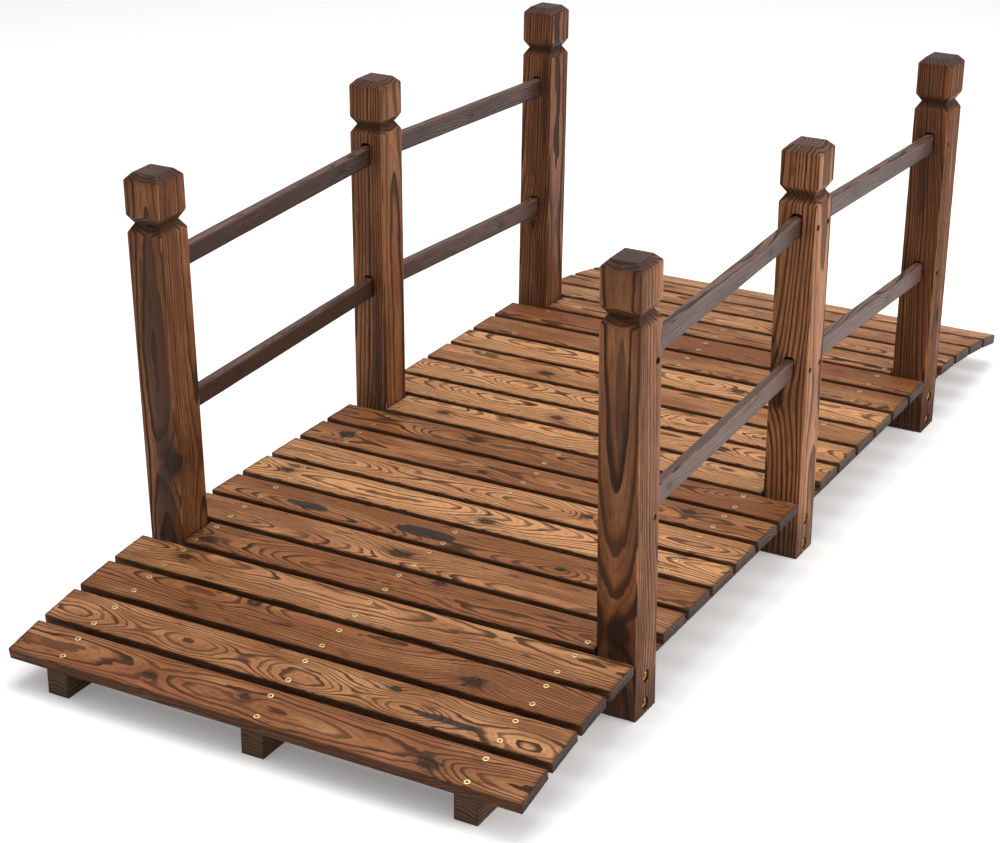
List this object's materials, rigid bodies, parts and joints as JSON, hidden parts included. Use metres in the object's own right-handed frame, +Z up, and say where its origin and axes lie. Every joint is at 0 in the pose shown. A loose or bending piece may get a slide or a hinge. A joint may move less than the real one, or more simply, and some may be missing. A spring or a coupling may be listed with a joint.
{
  "type": "wooden garden footbridge",
  "caption": "Low arched garden footbridge of charred fir: a plank deck on three beams, with square grooved posts and two rails on each side.",
  "frame": {"origin": "on the ground under the middle of the deck, at the bottom centre of the whole bridge", "axes": "+X along the walkway, +Y to the left side, +Z up"},
  "size_m": [1.53, 0.67, 0.5433],
  "materials": {
    "deck_wood": "charred and brushed fir, orange-brown with dark grain, matt",
    "beam_wood": "dark stained fir, matt",
    "post_wood": "charred and brushed fir, brown with straight dark grain, matt",
    "rail_wood": "grey-brown stained fir, matt",
    "yellow_zinc": "yellow zinc plated steel, satin"
  },
  "bodies": {
    "root": {"plank_01": "deck_wood", "plank_02": "deck_wood", "plank_03": "deck_wood", "plank_04": "deck_wood", "plank_05": "deck_wood", "plank_06": "deck_wood", "plank_07": "deck_wood", "plank_08": "deck_wood", "plank_09": "deck_wood", "plank_10": "deck_wood", "plank_11": "deck_wood", "plank_12": "deck_wood", "plank_13": "deck_wood", "plank_14": "deck_wood", "plank_15": "deck_wood", "plank_16": "deck_wood", "plank_17": "deck_wood", "plank_18": "deck_wood", "plank_19": "deck_wood", "plank_20": "deck_wood", "plank_21": "deck_wood", "plank_22": "deck_wood", "plank_23": "deck_wood", "left_beam": "beam_wood", "middle_beam": "beam_wood", "right_beam": "beam_wood", "left_post_1": "post_wood", "left_post_2": "post_wood", "left_post_3": "post_wood", "right_post_1": "post_wood", "right_post_2": "post_wood", "right_post_3": "post_wood", "left_top_rail_1": "rail_wood", "left_top_rail_2": "rail_wood", "left_low_rail_1": "rail_wood", "left_low_rail_2": "rail_wood", "right_top_rail_1": "rail_wood", "right_top_rail_2": "rail_wood", "right_low_rail_1": "rail_wood", "right_low_rail_2": "rail_wood", "left_bolts": "yellow_zinc", "right_bolts": "yellow_zinc"}
  },
  "joints": []
}
